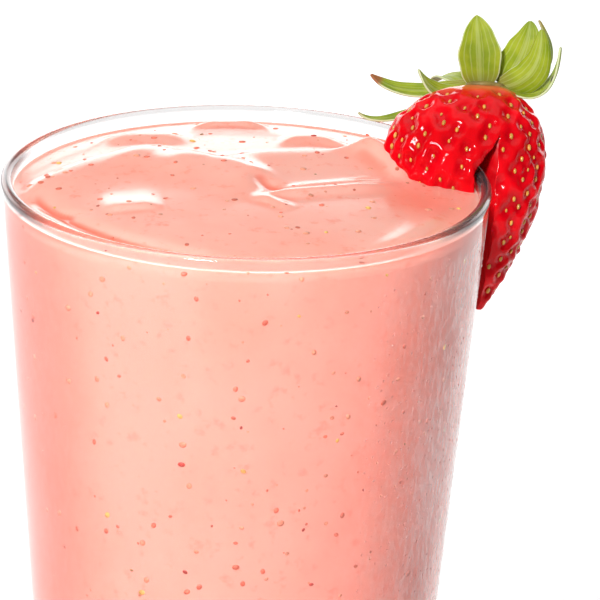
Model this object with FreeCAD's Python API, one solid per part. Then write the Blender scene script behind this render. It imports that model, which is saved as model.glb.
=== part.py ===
"""A strawberry smoothie in a straight-sided tumbler, with a slit strawberry astride the rim.

Millimetres.  +Z is up the axis of the glass, the origin is the middle of its foot on the table,
and -Y is the side the drink is served toward.
"""
import math
import os

import FreeCAD
import Part
from FreeCAD import Vector

# ---- the tumbler ----
glass_height = 148.0
rim_radius = 44.0            # outside of the rolled lip
foot_radius = 31.8           # outside, where the wall would meet the table
lip_roll = 0.1               # how far the fire-polished lip stands proud of the wall
lip_depth = 1.9              # how far down the roll reaches
wall = 1.9                   # just under the lip
wall_low = 2.6               # just above the bottom
bottom_thickness = 12.0
foot_round = 1.6             # rounding where the wall turns under
inner_round = 5.0            # rounding inside, wall to bottom

# ---- the drink ----
drink_gap = 0.15             # clearance kept between drink and glass
edge_drop = 3.1              # wall contact line below the lip
middle_drop = 0.9            # middle of the drink below the lip
shoulder_width = 13.0        # how wide the fall toward the wall is
calm_width = 4.3             # ring beside the wall where the folds die out
fold_fade = 0.25             # share of a fold's length over which its ends die out
surface_step = 2.8           # spacing of the drink's surface net

# ---- the strawberry ----
berry_turn = 20.0            # degrees round the rim, from +X toward the back
berry_lean = 26.5            # degrees, crown toward the back
berry_splay = 11.6           # degrees, crown outward
berry_length = 41.6
berry_outer = 10.5           # axis to skin, on the side outside the glass
berry_inner = 19.8           # axis to skin, on the side in the drink
berry_half_depth = 13.6      # half the berry's width along the rim
berry_tip_along = -8.6       # tip, along the rim
berry_tip_drop = 26.2        # tip below the lip
berry_tip_out = 0.6          # tip outward of the slit's outer face
slit_face = 0.3              # outer slit face clear of the lip
slit_inner = 3.7             # inner slit face in from the outside of the lip
slit_rise = 6.6              # top of the slit above the lip
slit_flare = 2.0             # top of the slit outward of the lip
slit_seat = 0.3              # flesh clear of the lip and the wall
berry_pool = 0.25            # drink stands off the berry by this
berry_belly = 1.61           # 1 has its widest place halfway up, more has it nearer the crown
berry_bluntness = 0.46       # less is blunter at both ends
berry_first = 0.006          # lowest and highest section, as shares of the length
berry_last = 0.984
BERRY_STATIONS = 13          # sections from tip to crown
BERRY_SIDES = 20             # points round a section

# ---- the green cap ----
cap_radius = 4.6
cap_thickness = 1.0
cap_inward = 0.95            # middle of the cap from the berry's axis, toward the drink
stalk_radius = 1.6
stalk_end_radius = 1.1
stalk_length = 2.6
leaf_thickness = 0.7
leaf_least = 0.12            # narrowest a leaf gets, as a share of its widest
leaf_clear = 1.5             # leaves bend up rather than come nearer the drink and the lip
LEAF_ROWS = 10               # stations along a leaf
LEAF_SIDES = 10              # facets round a leaf

BEYOND = 3.0                 # how far helper shapes reach past what they cut
SLIT_BELOW = 8.0             # how far the slit's helper shapes reach below the tip
ARC_SAGITTA = 1 - math.sqrt(0.5)   # middle of a quarter rounding, in from its corner, per radius

taper = (rim_radius - lip_roll - foot_radius) / glass_height


def outer_radius(z):
    """Outside of the plain wall at height z."""
    return foot_radius + taper * z


def inner_radius(z):
    """Inside of the wall at height z."""
    share = (z - bottom_thickness) / (glass_height - bottom_thickness)
    return outer_radius(z) - wall_low - (wall - wall_low) * share


def turn_about_axis(edges):
    """Solid turned about Z from an (r, z) outline."""
    face = Part.Face(Part.Wire(edges))
    return face.revolve(Vector(0, 0, 0), Vector(0, 0, 1), 360)


def arc(a, b, c):
    return Part.Arc(Vector(a[0], 0, a[1]), Vector(b[0], 0, b[1]), Vector(c[0], 0, c[1])).toShape()


def line(a, b):
    return Part.makeLine(Vector(a[0], 0, a[1]), Vector(b[0], 0, b[1]))


def make_glass():
    """Tumbler with a flat foot, a thick bottom and a rolled lip."""
    top = glass_height
    mid = rim_radius - (wall + lip_roll) / 2
    under = (outer_radius(foot_round), foot_round)
    corner = (outer_radius(0) - foot_round, 0)
    bend = (outer_radius(0) - ARC_SAGITTA * foot_round, ARC_SAGITTA * foot_round)
    roll_low = (outer_radius(top - lip_depth), top - lip_depth)
    roll_out = (rim_radius, top - lip_depth / 2)
    lip_in = (rim_radius - wall - lip_roll, top - lip_depth / 2)
    floor_wall = (inner_radius(bottom_thickness + inner_round), bottom_thickness + inner_round)
    floor_flat = (floor_wall[0] - inner_round, bottom_thickness)
    floor_bend = (floor_wall[0] - ARC_SAGITTA * inner_round,
                  bottom_thickness + ARC_SAGITTA * inner_round)
    edges = [
        line((0, 0), corner),
        arc(corner, bend, under),
        line(under, roll_low),
        line(roll_low, roll_out),
        arc(roll_out, (mid, top), lip_in),
        line(lip_in, floor_wall),
        arc(floor_wall, floor_bend, floor_flat),
        line(floor_flat, (0, bottom_thickness)),
        line((0, bottom_thickness), (0, 0)),
    ]
    return turn_about_axis(edges)


def smooth(t):
    """Smooth step from 0 to 1."""
    t = min(1.0, max(0.0, t))
    return t * t * (3 - 2 * t)


def fold(x, y, start, end, bow, height, front, back):
    """A ridge laid from start to end, bowed sideways, with its own front and back slopes."""
    dx = end[0] - start[0]
    dy = end[1] - start[1]
    length = math.hypot(dx, dy)
    along = ((x - start[0]) * dx + (y - start[1]) * dy) / length ** 2
    across = ((y - start[1]) * dx - (x - start[0]) * dy) / length
    across -= 4 * bow * along * (1 - along)
    width = back if across > 0 else front
    fade = (smooth((along + fold_fade) / (2 * fold_fade))
            * smooth((1 + fold_fade - along) / (2 * fold_fade)))
    return height * fade * math.exp(-(across / width) ** 2)


# start, end, bow, height, front slope width, back slope width
FOLDS = [
    ((-13.0, 15.0), (5.0, 3.2), 1.5, 1.2, 7.0, 2.2),
    ((0.0, 3.5), (5.5, -5.5), -1.0, -0.9, 2.6, 2.6),
    ((2.5, -9.5), (25.0, 3.5), -2.0, 1.0, 3.5, 1.8),
    ((7.5, 26.0), (19.0, 26.5), 3.0, 1.4, 3.2, 3.2),
    ((19.0, 24.0), (26.0, 15.0), 0.8, 0.7, 3.0, 2.0),
    ((-27.0, -15.5), (-14.0, -18.0), -1.0, -0.8, 3.4, 2.6),
    ((-25.5, -8.5), (-16.0, -7.5), 0.4, 0.5, 2.8, 2.2),
    ((-34.5, -19.0), (-7.0, -37.0), -4.5, -0.9, 1.8, 2.2),
    ((-9.0, 38.5), (2.0, 39.0), 1.5, 1.6, 3.0, 2.4),
    ((20.0, 21.0), (29.5, 9.5), 1.0, 2.6, 3.4, 4.0),
    ((-24.0, 27.0), (-6.0, 25.0), 2.5, 0.9, 4.0, 3.0),
    ((26.0, -27.0), (34.5, -12.0), -1.0, 0.5, 2.2, 2.2),
    ((-36.0, 3.0), (-18.0, 18.0), 3.5, 0.8, 6.0, 2.5),
]


def surface_height(x, y):
    """Height of the drink at (x, y): a low dome, falling toward the wall, with folds on it."""
    inside = inner_radius(glass_height - edge_drop)
    reach = inside - math.hypot(x, y)
    dome = math.sin(0.5 * math.pi * min(1.0, max(0.0, reach / shoulder_width)))
    height = glass_height - edge_drop + (edge_drop - middle_drop) * dome
    calm = smooth(reach / calm_width)
    for row in FOLDS:
        height += calm * fold(x, y, *row)
    return height


def drink_block():
    """Everything under the drink's surface, wider than the glass."""
    half = rim_radius + BEYOND
    count = int(2 * half / surface_step) + 2
    places = [-half + 2 * half * i / (count - 1) for i in range(count)]
    net = [[Vector(x, y, surface_height(x, y)) for y in places] for x in places]
    surface = Part.BSplineSurface()
    surface.interpolate(net)
    return surface.toShape().extrude(Vector(0, 0, -glass_height))


def make_smoothie(berry_room):
    """The drink: the inside of the glass up to its surface, cut round the strawberry."""
    gap = drink_gap
    low = bottom_thickness + gap
    turn = bottom_thickness + inner_round
    side = inner_radius(turn) - gap
    top = glass_height + BEYOND
    mouth = inner_radius(glass_height) - gap
    edges = [
        line((0, low), (side - inner_round, low)),
        arc((side - inner_round, low),
            (side - ARC_SAGITTA * inner_round, low + ARC_SAGITTA * inner_round),
            (side, turn + gap)),
        line((side, turn + gap), (mouth, top)),
        line((mouth, top), (0, top)),
        line((0, top), (0, low)),
    ]
    filling = turn_about_axis(edges).common(drink_block())
    return filling.cut(berry_room).Solids[0]


def closed_curve(ring):
    """A smooth closed wire through evenly spaced points."""
    curve = Part.BSplineCurve()
    curve.interpolate(Points=ring, PeriodicFlag=True,
                      Parameters=[float(i) for i in range(len(ring) + 1)])
    return Part.Wire(curve.toShape())


def berry_fullness(u):
    """How full the berry is, tip (0) to crown (1)."""
    return math.sin(math.pi * u ** berry_belly) ** berry_bluntness


def along_berry():
    """Stations from tip to crown, closer together at both ends."""
    half = (berry_last - berry_first) / 2
    return [berry_first + half * (1 - math.cos(math.pi * i / (BERRY_STATIONS - 1)))
            for i in range(BERRY_STATIONS)]


def berry_ring(u, grow):
    """One closed section of the berry, fuller on the drink side of the slit plane."""
    full = berry_fullness(u)
    ring = []
    for i in range(BERRY_SIDES):
        a = 2 * math.pi * i / BERRY_SIDES
        reach = berry_outer if math.cos(a) > 0 else berry_inner
        x = (reach * full + grow) * math.cos(a)
        y = (berry_half_depth * full + grow) * math.sin(a)
        ring.append(Vector(x, y, berry_length * u + grow * (2 * u - 1)))
    return closed_curve(ring)


def berry_body(grow=0.0):
    """The whole strawberry, standing on its tip at the origin."""
    return Part.makeLoft([berry_ring(u, grow) for u in along_berry()], True, False)


def at_slit(along, outward, up):
    """A point given along the rim, outward of the lip and above it, where the berry sits."""
    turn = math.radians(berry_turn)
    n = rim_radius + outward
    return Vector(n * math.cos(turn) - along * math.sin(turn),
                  n * math.sin(turn) + along * math.cos(turn), glass_height + up)


def berry_place():
    """Where the berry's tip goes and how it leans."""
    lean = FreeCAD.Rotation(Vector(1, 0, 0), -berry_lean)
    splay = FreeCAD.Rotation(Vector(0, 1, 0), berry_splay)
    round_rim = FreeCAD.Rotation(Vector(0, 0, 1), berry_turn)
    out = slit_face + berry_tip_out - taper * berry_tip_drop
    tip = at_slit(berry_tip_along, out, -berry_tip_drop)
    return FreeCAD.Placement(tip, round_rim.multiply(splay).multiply(lean))


def slit_wedge():
    """The slit: as wide as the wall at the lip, closing above it, open below."""
    deep = berry_tip_drop + SLIT_BELOW
    shape = [
        (-slit_inner - taper * deep, -deep),
        (-slit_inner, slit_seat),
        (slit_flare, slit_rise),
        (slit_face, slit_seat),
        (slit_face - taper * deep, -deep),
    ]
    points = [at_slit(-2 * berry_half_depth, n, z) for n, z in shape]
    face = Part.Face(Part.makePolygon(points + points[:1]))
    return face.extrude(at_slit(2 * berry_half_depth, 0, 0) - at_slit(-2 * berry_half_depth, 0, 0))


def wall_room():
    """The wall and lip with a little room round them."""
    room = slit_seat
    top = glass_height + room
    low = glass_height - berry_tip_drop - SLIT_BELOW
    inside = rim_radius - wall - lip_roll - room
    outline = [
        (inner_radius(low) - room, low),
        (outer_radius(low) + room, low),
        (rim_radius + room, top - lip_depth),
        (rim_radius, top),
        (inside, top),
    ]
    return turn_about_axis([line(a, b) for a, b in zip(outline, outline[1:] + outline[:1])])


def make_strawberry():
    """Strawberry with the slit cut up from its tip."""
    body = berry_body()
    body.Placement = berry_place()
    body = body.cut(slit_wedge())
    return body.cut(wall_room()).Solids[0]


def berry_room_in_drink():
    """The room the dipped half takes up in the drink."""
    body = berry_body(berry_pool)
    body.Placement = berry_place()
    far = 3 * berry_half_depth
    shape = [
        (-slit_inner - taper * far + berry_pool, -far),
        (-slit_inner + berry_pool, slit_seat),
        (slit_flare, slit_rise),
        (-2 * rim_radius, slit_rise + far),
        (-2 * rim_radius, -far),
    ]
    points = [at_slit(-far, n, z) for n, z in shape]
    side = Part.Face(Part.makePolygon(points + points[:1]))
    return body.common(side.extrude(at_slit(far, 0, 0) - at_slit(-far, 0, 0)))


def crown_point():
    """Middle of the berry's crown."""
    return berry_place().multVec(Vector(-cap_inward, 0, berry_last * berry_length))


def leaf_width(s):
    """Leaf width along its length, as a share of the widest."""
    return max(leaf_least, math.sin(math.pi * (0.1 + 0.88 * s) ** 0.85) ** 0.8)


def leaf_place(offset):
    """A point of a midrib from its offset to the crown, kept above the drink and the lip."""
    point = crown_point() + Vector(*offset)
    folds_under = max([0.0] + [row[3] for row in FOLDS])
    lowest = glass_height - middle_drop + folds_under + leaf_clear
    return Vector(point.x, point.y, max(point.z, lowest))


def leaf_stations(base, middle, tip, across, width, cup):
    """Rows of points across a leaf, one above and one below its middle sheet, base to tip."""
    p0, p1, p2 = [leaf_place(offset) for offset in (base, middle, tip)]
    control = p1 * 2 - (p0 + p2) * 0.5
    rows = []
    for k in range(LEAF_ROWS):
        s = k / (LEAF_ROWS - 1.0)
        centre = p0 * (1 - s) ** 2 + control * (2 * s * (1 - s)) + p2 * s ** 2
        run = ((control - p0) * (2 * (1 - s)) + (p2 - control) * (2 * s)).normalize()
        side = Vector(*across)
        side = (side - run * side.dot(run)).normalize()
        out = run.cross(side)
        half = width * leaf_width(s) / 2
        row = []
        for i in range(LEAF_SIDES):
            a = 2 * math.pi * i / LEAF_SIDES
            lift = leaf_thickness / 2 * math.sin(a) + cup * half * math.cos(a) ** 2
            row.append(centre + side * (half * math.cos(a)) + out * lift)
        rows.append(row)
    return rows, p0, p2


def facet(a, b, c):
    return Part.Face(Part.makePolygon([a, b, c, a]))


def make_leaf(*sizes):
    """A thin cupped leaf whose midrib passes through three points, offsets from the crown."""
    rows, start, end = leaf_stations(*sizes)
    faces = []
    for i in range(LEAF_SIDES):
        j = (i + 1) % LEAF_SIDES
        faces.append(facet(start, rows[0][i], rows[0][j]))
        faces.append(facet(end, rows[-1][j], rows[-1][i]))
        for low, high in zip(rows, rows[1:]):
            faces.append(facet(low[i], high[i], high[j]))
            faces.append(facet(low[i], high[j], low[j]))
    leaf = Part.Solid(Part.Shell(faces))
    if leaf.Volume < 0:
        leaf.reverse()
    return leaf


# base, middle and tip of the midrib from the crown, the way across it, widest, cupping
LEAVES = [
    ((-0.7, -1.0, 1.4), (-1.2, -1.0, 7.9), (-1.9, 1.0, 13.9), (1, 0, 0), 8.2, -0.12),
    ((3.0, -0.5, 0.9), (6.8, -1.5, 6.9), (8.2, 1.0, 13.1), (0.8, -0.5, -0.3), 8.0, 0.45),
    ((3.4, 2.0, -0.2), (11.9, 4.0, 3.7), (9.7, 5.0, 12.1), (0.2, 1, 0), 5.4, 0.2),
    ((3.2, -1.8, 1.6), (10.8, -3.2, 1.1), (13.5, -2.5, 9.4), (0.1, 1, 0.2), 5.0, 0.2),
    ((-3.4, -0.5, 0.9), (-13.7, 1.5, -1.2), (-20.8, 2.5, 1.5), (0, 1, 0.3), 5.4, -0.2),
    ((-2.6, -2.0, 1.6), (-8.2, -3.4, 0.3), (-12.3, -3.5, 4.6), (0.2, 1, 0.3), 4.6, -0.2),
    ((-3.4, 1.2, 0.2), (-15.8, 1.6, -5.4), (-22.8, 1.4, -5.8), (0, 1, 0.2), 4.2, -0.2),
    ((-3.1, 2.0, 0.0), (-6.3, 5.5, 0.5), (-9.3, 9.0, -2.1), (0.7, 0.6, 0), 6.0, -0.2),
]


def make_calyx():
    """The cap: a low button on the crown with its leaves joined to it."""
    crown = crown_point()
    up = berry_place().Rotation.multVec(Vector(0, 0, 1))
    button = Part.makeCylinder(cap_radius, cap_thickness, crown, up)
    stalk = Part.makeCone(stalk_radius, stalk_end_radius, stalk_length,
                          crown + up * cap_thickness, up)
    calyx = button.fuse([stalk] + [make_leaf(*row) for row in LEAVES])
    body = berry_body()
    body.Placement = berry_place()
    return max(calyx.cut(body).Solids, key=lambda piece: piece.Volume)


def main():
    os.makedirs("parts", exist_ok=True)
    nodes = {
        "glass": make_glass(),
        "smoothie": make_smoothie(berry_room_in_drink()),
        "strawberry": make_strawberry(),
        "calyx": make_calyx(),
    }
    for name, shape in nodes.items():
        box = shape.BoundBox
        print(name, shape.ShapeType, shape.isValid(), round(shape.Volume), len(shape.Solids),
              [round(v, 1) for v in (box.XMin, box.XMax, box.YMin, box.YMax, box.ZMin, box.ZMax)])
        shape.exportStep("parts/%s.step" % name)


main()
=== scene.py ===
# %% [markdown]
# # A strawberry smoothie, from its solids to its looks
#
# The construction is already settled: a tapered tumbler, the drink in it, and a slit strawberry
# with its green cap astride the lip.  This script loads those solids as a fixed frame and gives
# each one its finished surface.  Lengths are written in millimetres and turned into metres once.

# %% Load the frame
import math

import bmesh
import bpy
import numpy as np
from mathutils import Matrix, Vector


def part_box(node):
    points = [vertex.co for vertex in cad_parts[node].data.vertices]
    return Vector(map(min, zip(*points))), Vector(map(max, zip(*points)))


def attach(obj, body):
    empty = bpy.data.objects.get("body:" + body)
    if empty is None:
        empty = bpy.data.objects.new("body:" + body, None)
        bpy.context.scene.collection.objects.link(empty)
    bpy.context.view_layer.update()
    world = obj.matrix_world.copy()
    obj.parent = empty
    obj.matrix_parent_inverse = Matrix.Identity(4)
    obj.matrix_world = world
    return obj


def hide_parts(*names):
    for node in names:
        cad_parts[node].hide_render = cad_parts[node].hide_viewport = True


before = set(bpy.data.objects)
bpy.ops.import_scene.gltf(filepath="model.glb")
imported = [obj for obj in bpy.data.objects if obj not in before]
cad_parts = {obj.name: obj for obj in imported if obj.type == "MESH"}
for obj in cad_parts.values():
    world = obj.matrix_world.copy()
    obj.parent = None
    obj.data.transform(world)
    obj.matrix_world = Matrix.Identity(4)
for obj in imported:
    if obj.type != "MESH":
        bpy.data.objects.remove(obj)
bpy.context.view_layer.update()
MM = 0.001
glass_low, glass_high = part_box("glass")
drink_low, drink_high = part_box("smoothie")
berry_low, berry_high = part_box("strawberry")
lip_height = glass_high.z
lip_radius = glass_high.x
print("lip", round(lip_height / MM, 1), "mm up,", round(2 * lip_radius / MM, 1), "mm across")

# %% [markdown]
# ## Writing a finish as a sum
#
# A shader is easier to read as arithmetic than as boxes and wires.  `Flow` wraps one socket and
# turns `a * b + 1` into Math nodes; `Finish` owns a material, makes any other node from its type,
# settings and inputs, and mixes colours, because a Math node would turn a colour grey.

# %% Shader arithmetic


class Flow:
    """A number running through a shader, usable in ordinary sums."""

    def __init__(self, finish, socket):
        self.finish = finish
        self.socket = socket


def sum_rule(operation, swapped):
    """A method that adds one Math node, the other number first if swapped."""
    def rule(self, other):
        first, second = (other, self) if swapped else (self, other)
        return self.finish.node("ShaderNodeMath", {"operation": operation}, {0: first, 1: second})
    return rule


for sign, operation in (("add", "ADD"), ("sub", "SUBTRACT"), ("mul", "MULTIPLY"), ("pow", "POWER")):
    setattr(Flow, "__" + sign + "__", sum_rule(operation, swapped=False))
    setattr(Flow, "__r" + sign + "__", sum_rule(operation, swapped=True))


class Finish:
    """A material and the nodes that make it."""

    def __init__(self, name):
        self.material = bpy.data.materials.new(name)
        self.material.use_nodes = True
        self.tree = self.material.node_tree
        self.tree.nodes.clear()
        self.output = self.tree.nodes.new("ShaderNodeOutputMaterial")

    def node(self, kind, settings=None, inputs=None, out=0):
        node = self.tree.nodes.new(kind)
        for key, value in (settings or {}).items():
            setattr(node, key, value)
        for key, value in (inputs or {}).items():
            if isinstance(value, Flow):
                self.tree.links.new(value.socket, node.inputs[key])
            else:
                node.inputs[key].default_value = value
        return Flow(self, node.outputs[out])

    def place(self):
        return self.node("ShaderNodeTexCoord", out="Object")

    def mapped(self, scale):
        return self.node("ShaderNodeMapping", {}, {"Vector": self.place(), "Scale": scale})

    def part(self, vector, axis):
        """One number of a vector: 0 for x, 1 for y, 2 for z."""
        return self.node("ShaderNodeSeparateXYZ", {}, {"Vector": vector}, out=axis)

    def mark(self, name):
        """A number kept on the mesh's points."""
        return self.node("ShaderNodeAttribute", {"attribute_name": name}, {}, out="Fac")

    def without_sign(self, value):
        return self.node("ShaderNodeMath", {"operation": "ABSOLUTE"}, {0: value})

    def noise(self, where, scale, detail=3.0, roughness=0.55):
        return self.node("ShaderNodeTexNoise", {}, {"Vector": where, "Scale": scale,
                                                    "Detail": detail, "Roughness": roughness})

    def ramp(self, value, low, high):
        return self.node("ShaderNodeMapRange", {"interpolation_type": "SMOOTHSTEP"},
                         {"Value": value, "From Min": low, "From Max": high})

    def mix(self, factor, first, second):
        return self.node("ShaderNodeMix", {"data_type": "RGBA"},
                         {"Factor": factor, 6: first, 7: second}, out=2)

    def over(self, factor, under, upper):
        """One shader laid over another."""
        return self.node("ShaderNodeMixShader", {}, {0: factor, 1: under, 2: upper})

    def bump(self, height, strength, distance):
        return self.node("ShaderNodeBump", {}, {"Height": height, "Strength": strength,
                                                "Distance": distance})

    def surface(self, **inputs):
        names = {key.replace("_", " "): value for key, value in inputs.items()}
        return self.node("ShaderNodeBsdfPrincipled", {}, names)

    def done(self, shader):
        self.tree.links.new(shader.socket, self.output.inputs["Surface"])
        return self.material


def colour(red, green, blue):
    """A linear colour with full cover."""
    return (red, green, blue, 1.0)


# %% [markdown]
# ## Making meshes and putting them on the frame
#
# Every piece ends the same way: a plain mesh at the origin, smooth shaded, riding on the one body
# and standing in for its solid.  `closed_tube` turns rings of points into quads and
# closes the two ends.

# %% Mesh helpers


def add_piece(name, mesh, *materials):
    """Links a mesh as an object with its materials."""
    piece = bpy.data.objects.new(name, mesh)
    bpy.context.scene.collection.objects.link(piece)
    for material in materials:
        mesh.materials.append(material)
    mesh.polygons.foreach_set("use_smooth", [True] * len(mesh.polygons))
    return piece


def keep(piece, slot, *nodes):
    """Rides the finished piece on the body and lets it replace its solids."""
    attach(piece, "root")
    if nodes:
        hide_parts(*nodes)
    piece.data.calc_loop_triangles()
    print(piece.name, len(piece.data.loop_triangles), "triangles")


def ring_faces(rows, count):
    """Quads between neighbouring closed rows of count points."""
    faces = []
    for i in range(rows - 1):
        for j in range(count):
            k = (j + 1) % count
            faces.append((i * count + j, i * count + k, (i + 1) * count + k, (i + 1) * count + j))
    return faces


def closed_tube(name, rows):
    """A mesh from closed rows, an array (rows, count, 3), with a fan over each end."""
    total, count, _ = rows.shape
    points = [tuple(p) for p in rows.reshape(-1, 3)]
    faces = ring_faces(total, count)
    points += [tuple(rows[0].mean(0)), tuple(rows[-1].mean(0))]
    for j in range(count):
        k = (j + 1) % count
        faces.append((k, j, total * count))
        faces.append(((total - 1) * count + j, (total - 1) * count + k, total * count + 1))
    mesh = bpy.data.meshes.new(name)
    mesh.from_pydata(points, [], faces)
    return mesh


def mark_points(mesh, name, values):
    """Keeps a number or a direction for each point of a mesh."""
    flat = np.ravel(values)
    if len(flat) == len(mesh.vertices):
        mesh.attributes.new(name, "FLOAT", "POINT").data.foreach_set("value", flat)
    else:
        mesh.attributes.new(name, "FLOAT_VECTOR", "POINT").data.foreach_set("vector", flat)


def part_of(mesh, name, wanted):
    """A copy of a mesh with only the faces whose middles are wanted."""
    work = bmesh.new()
    work.from_mesh(mesh)
    spare = [face for face in work.faces if not wanted(face.calc_center_median())]
    bmesh.ops.delete(work, geom=spare, context="FACES")
    part = bpy.data.meshes.new(name)
    work.to_mesh(part)
    work.free()
    return part


def refine(piece):
    """Rounds a piece off by one step of subdivision."""
    finer = piece.modifiers.new("finer", "SUBSURF")
    finer.levels = 1
    finer.render_levels = 1
    return settle(piece)


def settle(piece):
    """Replaces a piece's live modifiers by their result."""
    graph = bpy.context.evaluated_depsgraph_get()
    mesh = bpy.data.meshes.new_from_object(piece.evaluated_get(graph))
    piece.modifiers.clear()
    piece.data = mesh
    mesh.polygons.foreach_set("use_smooth", [True] * len(mesh.polygons))
    return piece


def smooth(t):
    """Smooth step from 0 to 1."""
    t = np.clip(t, 0, 1)
    return t * t * (3 - 2 * t)


# %% [markdown]
# ## Growing things by rule
#
# Fruit flecks, seeds and beads of water are small shapes laid on a surface.  One builder makes a
# Geometry Nodes tree with named inputs; a modifier then gets its own numbers.  Each tree ends by
# realizing its instances and setting the material, so a plain mesh comes out.

# %% Geometry Nodes helpers


class Tree:
    """A Geometry Nodes tree with one mesh in, one mesh out, and named numbers."""

    def __init__(self, name, measures, counts):
        self.group = bpy.data.node_groups.new(name, "GeometryNodeTree")
        face = self.group.interface
        face.new_socket("Geometry", in_out="INPUT", socket_type="NodeSocketGeometry")
        for labels, kind in ((measures, "NodeSocketFloat"), (counts, "NodeSocketInt")):
            for label in labels.split():
                face.new_socket(label, in_out="INPUT", socket_type=kind)
        face.new_socket("Geometry", in_out="OUTPUT", socket_type="NodeSocketGeometry")
        self.entry = self.group.nodes.new("NodeGroupInput")
        self.exit = self.group.nodes.new("NodeGroupOutput")

    def given(self, label):
        return self.entry.outputs[label]

    def node(self, kind, settings=None, inputs=None):
        node = self.group.nodes.new(kind)
        for key, value in (settings or {}).items():
            setattr(node, key, value)
        for key, value in (inputs or {}).items():
            if isinstance(value, bpy.types.NodeSocket):
                self.group.links.new(value, node.inputs[key])
            else:
                node.inputs[key].default_value = value
        return node

    def finish(self, shapes, material):
        real = self.node("GeometryNodeRealizeInstances", {}, {"Geometry": shapes})
        dressed = self.node("GeometryNodeSetMaterial", {}, {"Geometry": real.outputs[0],
                                                            "Material": material})
        self.group.links.new(dressed.outputs[0], self.exit.inputs[0])


def grow(piece, tree, **numbers):
    """Runs a tree on a piece with these numbers and keeps the mesh."""
    modifier = piece.modifiers.new(tree.group.name, "NODES")
    modifier.node_group = tree.group
    sockets = {item.name: item.identifier for item in tree.group.interface.items_tree
               if item.in_out == "INPUT"}
    for label, value in numbers.items():
        modifier[sockets[label]] = value
    return settle(piece)


def lay_lumps(tree, points, ball, shape, turn, sizes, material):
    """Puts a stretched ball on every point, each of its own size, and dresses them all."""
    stretch = tree.node("ShaderNodeCombineXYZ", {}, dict(enumerate(shape)))
    lump = tree.node("GeometryNodeTransform", {}, {"Geometry": ball.outputs["Mesh"],
                                                   "Scale": stretch.outputs[0]})
    size = tree.node("FunctionNodeRandomValue", {"data_type": "FLOAT"},
                     {2: sizes[0], 3: sizes[1], "Seed": tree.given("Seed")})
    laid = tree.node("GeometryNodeInstanceOnPoints", {},
                     {"Points": points.outputs[0], "Instance": lump.outputs[0],
                      "Rotation": turn.outputs[0], "Scale": size.outputs[1]})
    tree.finish(laid.outputs[0], material)


def scatter_tree(name, material, sides, rings):
    """Lumps on the faces of a surface: size, flatness, spacing and seed are its inputs."""
    tree = Tree(name, "Spacing Density Smallest Largest Flatness Length", "Seed")
    points = tree.node("GeometryNodeDistributePointsOnFaces", {"distribute_method": "POISSON"},
                       {"Mesh": tree.given("Geometry"), "Distance Min": tree.given("Spacing"),
                        "Density Max": tree.given("Density"), "Seed": tree.given("Seed")})
    ball = tree.node("GeometryNodeMeshUVSphere", {}, {"Segments": sides, "Rings": rings,
                                                      "Radius": 1.0})
    spin = tree.node("FunctionNodeRandomValue", {"data_type": "FLOAT"},
                     {2: 0.0, 3: 2 * math.pi, "Seed": tree.given("Seed")})
    turn = tree.node("ShaderNodeCombineXYZ", {}, {2: spin.outputs[1]})
    facing = tree.node("FunctionNodeRotateEuler", {"rotation_type": "EULER", "space": "LOCAL"},
                       {"Rotation": points.outputs["Rotation"], "Rotate By": turn.outputs[0]})
    lay_lumps(tree, points, ball, (tree.given("Length"), 1.0, tree.given("Flatness")), facing,
              (tree.given("Smallest"), tree.given("Largest")), material)
    return tree


# %% [markdown]
# ## The tumbler
#
# A pressed tumbler is clear soda-lime glass: straight tapering sides, a thick bottom and a lip
# rounded in a flame.  It could be a stack of cylinders, but a lathe is how such a form is thought
# of, so a Geometry Nodes tree sweeps its half outline round a circle.  The outline has many short
# steps at the lip and the bottom corner, because that is where clear glass shows every flat.

# %% The tumbler's outline
FOOT_RADIUS = 31.8 * MM
LIP_ROLL = 0.1 * MM
LIP_DEPTH = 1.9 * MM
WALL = 1.9 * MM
WALL_LOW = 2.6 * MM
BOTTOM = 12.0 * MM
FOOT_ROUND = 1.6 * MM
INNER_ROUND = 5.0 * MM
taper = (lip_radius - LIP_ROLL - FOOT_RADIUS) / lip_height


def outer_radius(z):
    return FOOT_RADIUS + taper * z


def inner_radius(z):
    share = (z - BOTTOM) / (lip_height - BOTTOM)
    return outer_radius(z) - WALL_LOW - (WALL - WALL_LOW) * share


def bend(centre, reach, start, end, steps):
    """Points on a quarter turn or less, angles in degrees."""
    turns = np.radians(np.linspace(start, end, steps))
    return [(centre[0] + reach[0] * math.cos(a), centre[1] + reach[1] * math.sin(a)) for a in turns]


def glass_outline():
    """Half outline (radius, height) from the middle of the foot round to the middle inside."""
    foot_mid = (outer_radius(FOOT_ROUND) - FOOT_ROUND, FOOT_ROUND)
    foot = bend(foot_mid, (FOOT_ROUND, FOOT_ROUND), -90, 0, 9)
    sides = [(outer_radius(z), z) for z in np.linspace(FOOT_ROUND + 1 * MM, lip_height - LIP_DEPTH, 24)]
    half = (WALL + LIP_ROLL) / 2
    lip_mid = (lip_radius - half, lip_height - LIP_DEPTH / 2)
    lip = bend(lip_mid, (half, LIP_DEPTH / 2), 0, 180, 19)
    top_inside = lip_height - LIP_DEPTH
    inside = [(inner_radius(z), z) for z in np.linspace(top_inside, BOTTOM + INNER_ROUND, 24)]
    corner_mid = (inner_radius(BOTTOM + INNER_ROUND) - INNER_ROUND, BOTTOM + INNER_ROUND)
    corner = bend(corner_mid, (INNER_ROUND, INNER_ROUND), 0, -90, 12)[1:]
    flats = [(r, 0.0) for r in np.linspace(0, foot[0][0], 5)[:-1]]
    bottom = [(r, BOTTOM) for r in np.linspace(corner[-1][0], 0, 5)[1:]]
    return flats + foot + sides + lip + inside + corner + bottom


outline = glass_outline()
print("outline of", len(outline), "points, wall", WALL / MM, "mm at the lip")

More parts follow.
